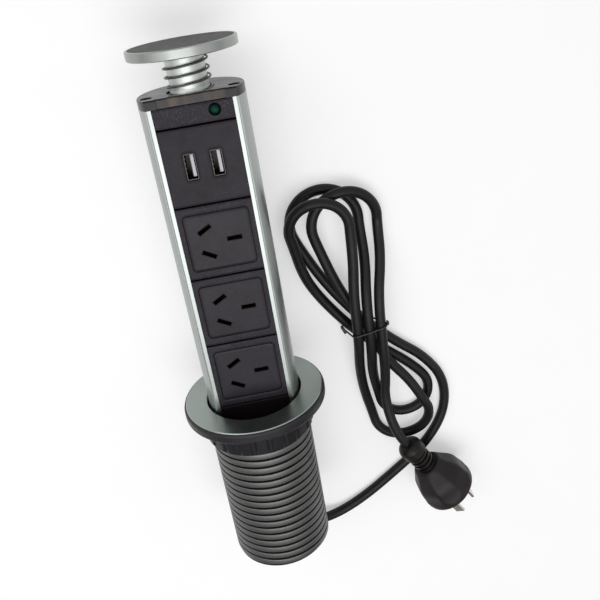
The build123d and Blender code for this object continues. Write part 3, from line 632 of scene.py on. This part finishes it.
def grooved_metal(name, colour, roughness, shaded_from_radius):
    """The barrel's own wall: bare metal inside, and painted shade in the grooves between the ridges, outside
    the given radius.
    """
    make = Finish(name)
    rings = make.noise(900, 2.0, 0.5, make.stretched(0.02, 1, 0.02))
    inside = make.tint(make.span(rings, 0.3, 0.7), shade(colour, 0.85), shade(colour, 1.1))
    # Painted shade: the wall turns nearly black where it shows between the ridges
    tone = make.tint(make.span(make.radius(), shaded_from_radius, shaded_from_radius + 0.2 * MM), inside, shade(colour, 0.06))
    make.bump(rings, 0.3, METAL_RELIEF)
    return make.done(tone, make.worn(rings, roughness), 1.0)


def port_shell(name, colour, node):
    """A port's folded shell: its own colour along its front edge, and painted shade inside, less deep along a
    few fine folds.
    """
    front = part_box(node)[1].z
    make = Finish(name)
    folds = make.noise(1100, 1.0, 0.5, make.stretched(1, 0.12, 1))
    # Painted shade on the inner walls, lighter along the folds
    shaded_walls = make.tint(make.span(folds, 0.56, 0.70), shade(colour, 0.06), shade(colour, 0.7))
    tone = make.tint(make.span(make.axis("Z"), front - 0.12 * MM, front - 0.04 * MM), shaded_walls, colour)
    make.bump(folds, 0.4, 0.03 * MM)
    return make.done(tone, 0.34, 1.0)


def port_tongue(name, colour, node):
    """A port's tongue: pale on the front of its blade; painted shade darkens its contact side, its root and the
    front beside the contact side.
    """
    low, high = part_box(node)
    painted_shade_edge = (low.x + high.x) / 2 + 0.35 * MM
    make = Finish(name)
    fine = make.noise(1500, 2.0)
    pale = make.tint(make.span(fine, 0.3, 0.7), shade(colour, 0.92), shade(colour, 1.05))
    # Painted shade: all but the pale front of the blade is given a dark colour
    front = make.math("MULTIPLY", make.span(make.axis("Z"), high.z - 0.14 * MM, high.z - 0.05 * MM),
                      make.span(make.axis("X"), painted_shade_edge, painted_shade_edge + 0.12 * MM))
    make.bump(fine, 0.3, 0.008 * MM)
    return make.done(make.tint(front, (0.018, 0.015, 0.014), pale), 0.45)


def clear_lens(name, colour, node):
    """The indicator's green lens: domed, its colour painted brightest at its middle and shaded dark towards its
    rim.
    """
    low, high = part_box(node)
    radius = max(high.x - low.x, high.y - low.y) / 2
    make = Finish(name)
    share = make.math("DIVIDE", make.vector("DISTANCE", make.place, (low + high) / 2, "Value"), radius)
    # Painted light and shade: full colour in the middle, shaded dark towards the rim
    tone = make.tint(make.span(share, 0.35, 0.92), colour, shade(colour, 0.12))
    fall = make.math("SUBTRACT", 1.05, make.math("POWER", share, 2))
    make.bump(make.math("SQRT", make.math("MAXIMUM", fall, 0)), 1.0, 0.9 * MM)
    make.bump(make.noise(900, 2.0), 0.15, 0.02 * MM)
    return make.done(tone, 0.25, specular=0.05)


def cap_plastic(name, colour, node, reach, step):
    """The end cap: polished black; a brownish painted reflection lies on its recessed front strip, and painted
    shade darkens the two ears at its ends.
    """
    strip_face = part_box(node)[1].z - step
    make = Finish(name)
    patches = make.noise(150, 2.0, 0.5, make.stretched(1, 0.3, 1))
    body = make.clouded(make.noise(55, 3.0), colour, 0.25)
    # Painted reflection: a patchy brown tint on the recessed front strip
    painted_reflection = make.tint(make.span(patches, 0.4, 0.65), (0.021, 0.0165, 0.0165), (0.085, 0.060, 0.043))
    fade = 4 * MM
    across = make.span(make.math("ABSOLUTE", make.axis("X")), reach - fade, reach, 1.0, 0.0)
    # Painted shade on the ears beyond the strip
    front = make.tint(across, shade(colour, 0.3), painted_reflection)
    tone = make.tint(make.span(make.axis("Z"), strip_face - 0.3 * MM, strip_face - 0.1 * MM), body, front)
    make.bump(make.noise(830, 3.0, 0.6), 0.5, 0.01 * MM)
    return make.done(tone, make.span(patches, 0.3, 0.75, 0.20, 0.30), specular=0.27)


def laminate(name):
    """Green circuit board with tinned dots."""
    make = Finish(name)
    cells = make.add("ShaderNodeTexVoronoi", {"Vector": make.place, "Scale": 420.0})
    dots = make.span(cells.outputs["Distance"], 0.22, 0.28, 1.0, 0.0)
    make.bump(dots, 0.3, 0.05 * MM)
    return make.done(make.tint(dots, (0.01, 0.11, 0.045), (0.55, 0.55, 0.52)), 0.35)


def dress(material, *nodes):
    """Gives CAD nodes their finish."""
    for name in nodes:
        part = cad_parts[name]
        for slot in part.material_slots:
            slot.material = material
        if not part.material_slots:
            part.data.materials.append(material)


# ---------------------------------------------------------------- operators


class SOCKET_OT_finishes(bpy.types.Operator):
    """Mix the finishes and give the CAD parts their own"""

    bl_idname = "socket.finishes"
    bl_label = "Finish the parts"

    def execute(self, context):
        own, face = context.scene.socket_finish, context.scene.socket_face
        black = tuple(own.black)
        turned_metal("barrel_metal", own.thread, 0.46)
        dress(grooved_metal("barrel_root", own.thread, 0.46, shaded_from_radius=28.2 * MM), "barrel")
        dress(moulded("flange_plastic", shade(black, 0.75), 0.38, grain=0.3, specular=0.28), "flange_base")
        dress(satin("ring_metal", own.ring, 0.32, (1, 0.05, 1), lines=0.4), "flange_ring")
        dress(moulded("guide_plastic", black, 0.45), "guide_bush")
        dress(moulded("friction_rubber", shade(black, 0.7), 0.7, grain=0.4), "friction_ring")
        dress(turned_metal("washer_metal", (0.5, 0.5, 0.49), 0.3), "slip_washer")
        dress(moulded("nut_plastic", shade(black, 0.4), 0.36, grain=0.6, specular=0.25), "clamp_nut")

        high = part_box("tower_extrusion")[1]
        lip = (math.sqrt(high.x ** 2 - high.z ** 2), face.lip_round)
        dress(satin("tower_metal", own.anodised, 0.36, (1, 0.012, 1), lines=0.5, lip=lip), "tower_extrusion")
        # The lower blank, next to the flange, is coloured darker than the other plates, as painted shade
        dress(moulded("blank_plastic", (0.0085, 0.0055, 0.0062), 0.4, grain=0.28, relief=0.03, specular=0.12),
              "lower_blank")
        dress(panel("top_blank", black, [("top_blank", 0.0, 0.0)], 0.5), "top_blank")
        shells = ["usb_shell_left", "usb_shell_right"]
        rims = [("usb_module", 0.0, 0.0)] + [(shell, 1.0 * MM, 0.4 * MM) for shell in shells]
        dress(panel("usb_module", black, rims, 0.15), "usb_module")
        # The contact brass is coloured far darker than bright brass, as painted shade down in the slots
        shaded_brass = satin("contact_brass", (0.20, 0.14, 0.075), 0.38, (1, 0.05, 1))
        dress(shaded_brass, "busbar_live", "busbar_neutral", "busbar_earth")
        for number in "123":
            dress(shaded_brass, "outlet_contacts_" + number)
            body, insert = "outlet_body_" + number, "outlet_insert_" + number
            rim = (insert, face.corner, 0.1 * MM)
            dress(panel(body, black, [(body, 0.0, 0.0), rim], 0.4), body)
            dress(panel(insert, black, [rim], 0.12, 0.34, 0.165, SLOTS), insert)

        dress(moulded("block_plastic", (0.62, 0.60, 0.54), 0.45), "terminal_block")
        dress(turned_metal("screw_steel", (0.16, 0.155, 0.15), 0.38),
              "terminal_screws", "end_cap_screws", "tail_cap_screws")
        dress(moulded("core_rubber", (0.25, 0.10, 0.05), 0.5), "core_wires")
        for side in ("left", "right"):
            shell, tongue = "usb_shell_" + side, "usb_tongue_" + side
            dress(port_shell("shell_" + side, (0.055, 0.053, 0.050), shell), shell)
            dress(port_tongue("tongue_" + side, (0.62, 0.60, 0.66), tongue), tongue)
        dress(laminate("board_laminate"), "usb_board")
        dress(clear_lens("lens_plastic", own.lens, "indicator_lens"), "indicator_lens")
        dress(clear_lens("led_plastic", (0.1, 0.4, 0.15), "indicator_led"), "indicator_led")

        dress(cap_plastic("cap_plastic", shade(black, 0.6), "end_cap", reach=17.4 * MM, step=1.0 * MM),
              "end_cap")
        dress(turned_metal("bright_metal", own.bright, 0.42, lines=0.4),
              "stem_collar", "knob_stem", "stem_clip")
        dress(turned_metal("knob_metal", (0.33, 0.345, 0.33), 0.32), "knob_disc")
        dress(moulded("inlay_plastic", (0.045, 0.043, 0.046), 0.5, grain=0.3, relief=0.01, specular=0.15),
              "knob_inlay")
        dress(moulded("tail_plastic", black, 0.42), "tail_cap")
        dress(moulded("gland_plastic", black, 0.4), "cable_gland")
        dress(moulded("plug_plastic", (0.0170, 0.0130, 0.0156), 0.40, grain=0.8, relief=0.012, specular=0.19),
              "plug_body")
        dress(moulded("neck_plastic", (0.0085, 0.0072, 0.0062), 0.38, grain=0.8, relief=0.012, specular=0.2),
              "plug_neck")
        dress(satin("pin_metal", (0.62, 0.60, 0.56), 0.22, (1, 1, 0.1)), "plug_pins")
        dress(moulded("tie_plastic", shade(black, 0.7), 0.4), "cable_tie")
        return {"FINISHED"}


class SOCKET_OT_tie(bpy.types.Operator):
    """Bind the hank with a coated wire, pulled tight around its strands and twisted at one side"""

    bl_idname = "socket.tie"
    bl_label = "Bind the hank"

    def execute(self, context):
        own, lead = context.scene.socket_tie, context.scene.socket_lead
        guide = route_curve("tie_guide", lead_route())
        line = line_of(guide)
        bpy.data.curves.remove(guide)
        outline = []
        sides = 32
        reach = lead.diameter / 2 + own.wire / 2
        for before, after in zip(line, line[1:]):
            if (before.y - own.place) * (after.y - own.place) < 0:
                middle = before.lerp(after, (own.place - before.y) / (after.y - before.y))
                for k in range(sides):
                    angle = 2 * math.pi * k / sides
                    outline.append((middle.x + reach * math.cos(angle), middle.z + reach * math.sin(angle)))
        around = hull(outline)
        first = around.index(min(around))
        around = around[first:] + around[:first + 1]
        low, high = min(around)[0], max(around)[0]
        loop_path = []
        for x, z in around:
            share = (x - low) / (high - low)
            loop_path.append(Vector((x, own.place + own.slope * (share - 0.5), z)))
        left = loop_path[0]
        right = max(loop_path, key=lambda p: p.x)
        runs = [(loop_path, [own.wire / 2] * len(loop_path))]
        runs += twisted(left + Vector((-0.2, 0.4, 0)) * MM, Vector((0.35, -0.9, -0.25)).normalized(),
                        own.tail, own.wire, 2.5)
        runs += twisted(right + Vector((0.2, -0.8, 0)) * MM, Vector((0.1, 0.95, 0.3)).normalized(),
                        own.tail * 0.45, own.wire, 1.0)
        wire = piece("tie_wire", tube_mesh("tie_wire", runs, 12), bpy.data.materials["tie_plastic"])
        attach(wire, "tower")
        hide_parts("cable_tie")
        return {"FINISHED"}


class SOCKET_OT_plug(bpy.types.Operator):
    """Model the plug's moulded body, its facets melting into each other"""

    bl_idname = "socket.plug"
    bl_label = "Mould the plug"

    def execute(self, context):
        own = context.scene.socket_plug
        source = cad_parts["plug_body"]
        plastic = bpy.data.materials["plug_plastic"]
        body = piece("plug_shell", turned_right(source.data.copy()), plastic)
        body.matrix_world = source.matrix_world
        for kind, sizes in (
                ("REMESH", {"mode": "VOXEL", "voxel_size": own.voxel, "use_smooth_shade": True}),
                ("SMOOTH", {"factor": 0.5, "iterations": own.softening})):
            step = body.modifiers.new(kind.title(), kind)
            for key, value in sizes.items():
                setattr(step, key, value)
        context.view_layer.update()
        ready = body.evaluated_get(context.evaluated_depsgraph_get())
        mesh = bpy.data.meshes.new_from_object(ready)
        body.modifiers.clear()
        rear, way = Vector(plug_rear()) * MM, plug_way()
        for vertex in mesh.vertices:
            along = (vertex.co - rear).dot(way)
            out = vertex.co - rear - way * along
            swell = own.swell * math.exp(-((along - own.swell_place) / own.swell_length) ** 2)
            vertex.co += out.normalized() * swell
        mesh.name = "plug_shell"
        body.data = finished(mesh, plastic)
        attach(body, "tower")
        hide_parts("plug_body")
        return {"FINISHED"}


class SOCKET_OT_lead(bpy.types.Operator):
    """Lay the lead from the gland through its hank to the plug, with its strain relief"""

    bl_idname = "socket.lead"
    bl_label = "Lay the lead"

    def execute(self, context):
        own = context.scene.socket_lead
        sheath = moulded("cord_sheath", context.scene.socket_finish.sheath, 0.44, grain=1.4, specular=0.24)
        points = lead_route()
        curve = route_curve("lead_cord", points)
        relief_line = line_of(curve)
        curve.bevel_depth = own.diameter / 2
        curve.bevel_resolution = 5
        curve.use_fill_caps = True
        curve.materials.append(sheath)
        lead = bpy.data.objects.new("lead_cord", curve)
        context.collection.objects.link(lead)
        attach(lead, "tower")
        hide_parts("cord_lead", "cord_hank", "plug_lead")
        tuple(points[0])

        path, travelled = [relief_line[0]], 0.0
        for before, after in zip(relief_line, relief_line[1:]):
            travelled += (after - before).length
            path.append(after)
            if travelled >= own.relief_length:
                break
        fine = []
        for before, after in zip(path, path[1:]):
            fine += [before.lerp(after, k / 4) for k in range(4)]
        fine.append(path[-1])
        end_radius = own.diameter / 2 + 0.25 * MM
        bands, rib_height, plain_from = 14, 0.35 * MM, 0.9
        radii = []
        for i in range(len(fine)):
            share = i / (len(fine) - 1)
            rib = rib_height if int(share * bands) % 2 == 0 and share < plain_from else 0.0
            radii.append(blended(own.relief_radius, end_radius, share) + rib)
        sleeve = piece("lead_relief", tube_mesh("lead_relief", [(fine, radii)], 28),
                       bpy.data.materials["gland_plastic"])
        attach(sleeve, "tower")
        return {"FINISHED"}


class SOCKET_OT_thread(bpy.types.Operator):
    """Wind the barrel's thread as one ridge around its root"""

    bl_idname = "socket.thread"
    bl_label = "Cut the thread"

    def execute(self, context):
        own = context.scene.socket_thread
        tree = Tree("thread_ridge")
        root, depth, pitch, groove, bottom, turns = tree.sizes(
            own, "root", "depth", "pitch", "groove", "bottom", "turns")
        sunk = 0.3 * MM
        middle = tree.math("SUBTRACT", root, sunk)
        helix = tree.add("GeometryNodeCurveSpiral", {
            "Resolution": 120, "Rotations": turns, "Start Radius": middle, "End Radius": middle,
            "Height": tree.math("MULTIPLY", pitch, turns)})
        width = tree.math("SUBTRACT", pitch, groove)
        height = tree.math("MULTIPLY", tree.math("ADD", depth, sunk), 2.0)
        outline = tree.add("GeometryNodeCurvePrimitiveQuadrilateral", {"Width": height, "Height": width})
        rounded = tree.add("GeometryNodeFilletCurve", {
            "Curve": outline.outputs[0], "Count": 3, "Radius": 0.28 * MM, "Limit Radius": True}, mode="POLY")
        upright = tree.add("GeometryNodeSetCurveNormal", {"Curve": helix.outputs[0]}, mode="Z_UP")
        ridge = tree.add("GeometryNodeCurveToMesh", {
            "Curve": upright.outputs[0], "Profile Curve": rounded.outputs[0], "Fill Caps": True})
        shift = tree.add("ShaderNodeCombineXYZ", {1: bottom})
        laid = tree.add("GeometryNodeTransform", {
            "Geometry": ridge.outputs[0], "Translation": shift.outputs[0],
            "Rotation": (-math.pi / 2, 0, 0)})
        thread = tree.make("barrel_thread", laid.outputs[0], bpy.data.materials["barrel_metal"])
        turned_right(thread.data)
        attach(thread, "collar")
        return {"FINISHED"}


class SOCKET_OT_spring(bpy.types.Operator):
    """Wind the knob's return spring, its end turns lying flat"""

    bl_idname = "socket.spring"
    bl_label = "Wind the spring"

    def execute(self, context):
        own = context.scene.socket_spring
        steps = 72
        count = int(own.turns * steps)
        low, high = own.bottom + own.wire / 2, own.top - own.wire / 2
        # Turns that lie flat, half of them at each end
        dead = 0.75
        path = []
        for i in range(count + 1):
            turn = i / steps
            share = min(max((turn - dead / 2) / (own.turns - dead), 0), 1)
            share += 0.02 * math.sin(2 * math.pi * share)
            angle = own.start + 2 * math.pi * turn
            path.append(Vector((own.radius * math.sin(angle), blended(low, high, share),
                                own.radius * math.cos(angle))))
        steel = turned_metal("spring_steel", (0.10, 0.105, 0.098), 0.30)
        mesh = tube_mesh("return_spring", [(path, [own.wire / 2] * len(path))], 12)
        spring = piece("return_spring", mesh, steel)
        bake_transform(spring)
        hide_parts("knob_spring")
        return {"FINISHED"}


class SOCKET_OT_ports(bpy.types.Operator):
    """Set the contact strips along the left inner wall of both charging ports"""

    bl_idname = "socket.ports"
    bl_label = "Fit the port contacts"

    def execute(self, context):
        own = context.scene.socket_port
        thick, off_wall, set_back = 0.12 * MM, 0.02 * MM, 0.5 * MM
        gilt = satin("strip_gilt", (0.26, 0.20, 0.11), 0.36, (1, 1, 0.1))
        for side in ("left", "right"):
            # The tongue's box is that of its root, so its left side lies along the port's inner wall
            low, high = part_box("usb_tongue_" + side)
            tree = Tree("port_strips_" + side)
            length, width, pitch, strips = tree.sizes(
                own, "strip_length", "strip_width", "strip_pitch", "strips")
            reach = tree.math("MULTIPLY", pitch, tree.math("SUBTRACT", strips, 1))
            half = tree.math("MULTIPLY", reach, 0.5)
            middle = (low + high) / 2
            start = tree.add("ShaderNodeCombineXYZ", {
                0: low.x + off_wall, 1: tree.math("SUBTRACT", middle.y, half),
                2: tree.math("SUBTRACT", high.z - set_back, tree.math("MULTIPLY", length, 0.5))})
            step = tree.add("ShaderNodeCombineXYZ", {1: pitch})
            row = tree.add("GeometryNodeMeshLine", {
                "Count": strips, "Start Location": start.outputs[0], "Offset": step.outputs[0]}, mode="OFFSET")
            shape = tree.add("ShaderNodeCombineXYZ", {0: thick, 1: width, 2: length})
            strip = tree.add("GeometryNodeMeshCube", {"Size": shape.outputs[0]})
            laid = tree.add("GeometryNodeInstanceOnPoints", {
                "Points": row.outputs[0], "Instance": strip.outputs[0]})
            contacts = tree.make("port_strips_" + side, laid.outputs[0], gilt)
            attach(contacts, "tower")
        return {"FINISHED"}


class SOCKET_OT_stage(bpy.types.Operator):
    """Set up the camera, the pale floor and the soft studio light"""

    bl_idname = "socket.stage"
    bl_label = "Set the studio"

    def execute(self, context):
        own = context.scene.socket_stage
        scene = context.scene
        scene.view_settings.view_transform = "Standard"

        camera = bpy.data.objects.new("studio_camera", bpy.data.cameras.new("studio_camera"))
        scene.collection.objects.link(camera)
        turn = Matrix(CAMERA_AXES).transposed().to_4x4()
        camera.matrix_world = Matrix.Translation(at(*CAMERA_PLACE)) @ turn
        camera.data.sensor_width = 36
        camera.data.lens = own.lens
        camera.data.shift_y = -0.07
        camera.data.clip_start = 0.01
        scene.camera = camera

        floor_mesh = bpy.data.meshes.new("studio_floor")
        ends = (-FLOOR_REACH, FLOOR_REACH)
        corners = [(x, y, FLOOR * MM) for x in ends for y in ends]
        floor_mesh.from_pydata(corners, [], [(0, 2, 3, 1)])
        paper = Finish("floor_paper")
        tone = paper.tint(paper.noise(30, 2.0), (own.floor_tone,) * 3, (own.floor_tone + 0.02,) * 3)
        paper.done(tone, 0.9, specular=0.0)
        sight = paper.add("ShaderNodeLightPath").outputs
        seen = paper.math("MAXIMUM", sight["Is Camera Ray"], sight["Is Glossy Ray"])
        glow = paper.add("ShaderNodeEmission", {
            "Color": (1, 1, 1, 1), "Strength": paper.math("MULTIPLY", seen, own.floor_glow)})
        both = paper.add("ShaderNodeAddShader", {0: paper.shader.outputs[0], 1: glow.outputs[0]})
        paper.links.new(both.outputs[0], paper.end.inputs[0])
        floor = piece("studio_floor", floor_mesh, paper.material, smooth=False)

        scene.world = bpy.data.worlds.new("studio_world")
        scene.world.use_nodes = True
        room = Wiring(scene.world.node_tree)
        room.nodes.clear()
        sight = room.add("ShaderNodeLightPath").outputs
        way = room.add("ShaderNodeTexCoord").outputs["Generated"]
        heading = room.add("ShaderNodeSeparateXYZ", {0: way}).outputs
        # The foot side of the room and its lower part are darker than the rest
        foot = room.span(heading["Y"], -0.68, -0.36, 0.22, 1.0, interpolation_type="SMOOTHSTEP")
        height = room.span(heading["Z"], 0.0, 0.6, 0.62, 1.0)
        shown = room.math("MAXIMUM", sight["Is Glossy Ray"], sight["Is Transmission Ray"])
        level = room.span(shown, 0.0, 1.0, own.room, 1.0)
        lit = room.math("MULTIPLY", room.math("MULTIPLY", level, foot), height)
        sky = room.add("ShaderNodeBackground", {
            "Color": (1, 1, 1, 1), "Strength": room.math("MAXIMUM", lit, sight["Is Camera Ray"])})
        room.add("ShaderNodeOutputWorld", {0: sky.outputs[0]})

        def lamp(name, place, aim, size, power):
            light = bpy.data.lights.new(name, "AREA")
            light.shape = "RECTANGLE"
            light.size, light.size_y = size
            light.energy = power
            carrier = bpy.data.objects.new(name, light)
            scene.collection.objects.link(carrier)
            turn = (Vector(aim) - Vector(place)).to_track_quat("-Z", "Y")
            carrier.matrix_world = Matrix.Translation(Vector(place)) @ turn.to_matrix().to_4x4()

        lamp("softbox_above", (-0.02, -0.22, 1.07), (0, 0.06, 0), (1.1, 0.62), own.overhead)
        lamp("softbox_left", (-0.60, 0.50, 0.60), (0, 0.06, 0), (0.8, 0.8), own.key)
        return {"FINISHED"}


class SOCKET_PT_panel(bpy.types.Panel):
    """The desk socket's steps, in the order in which they are run"""

    bl_idname = "SOCKET_PT_panel"
    bl_label = "Desk Socket"
    bl_space_type = "VIEW_3D"
    bl_region_type = "UI"
    bl_category = "Desk Socket"

    def draw(self, context):
        for step in STEPS:
            self.layout.operator(step.bl_idname)


GROUPS = {
    "socket_lead": LeadSettings,
    "socket_thread": ThreadSettings,
    "socket_spring": SpringSettings,
    "socket_port": PortSettings,
    "socket_tie": TieSettings,
    "socket_plug": PlugSettings,
    "socket_finish": FinishSettings,
    "socket_face": FaceSettings,
    "socket_stage": StageSettings,
}
STEPS = (
    SOCKET_OT_stage,
    SOCKET_OT_finishes,
    SOCKET_OT_plug,
    SOCKET_OT_tie,
    SOCKET_OT_lead,
    SOCKET_OT_thread,
    SOCKET_OT_spring,
    SOCKET_OT_ports,
)


def register():
    for name, group in GROUPS.items():
        bpy.utils.register_class(group)
        setattr(bpy.types.Scene, name, bpy.props.PointerProperty(type=group))
    for step in STEPS:
        bpy.utils.register_class(step)
    bpy.utils.register_class(SOCKET_PT_panel)


def unregister():
    bpy.utils.unregister_class(SOCKET_PT_panel)
    for step in reversed(STEPS):
        bpy.utils.unregister_class(step)
    for name, group in reversed(GROUPS.items()):
        delattr(bpy.types.Scene, name)
        bpy.utils.unregister_class(group)


def main():
    register()
    bpy.ops.socket.stage()
    bpy.ops.socket.finishes()
    bpy.ops.socket.plug()
    bpy.ops.socket.tie()
    bpy.ops.socket.lead()
    bpy.ops.socket.thread()
    bpy.ops.socket.spring()
    bpy.ops.socket.ports()


if __name__ == "__main__":
    main()
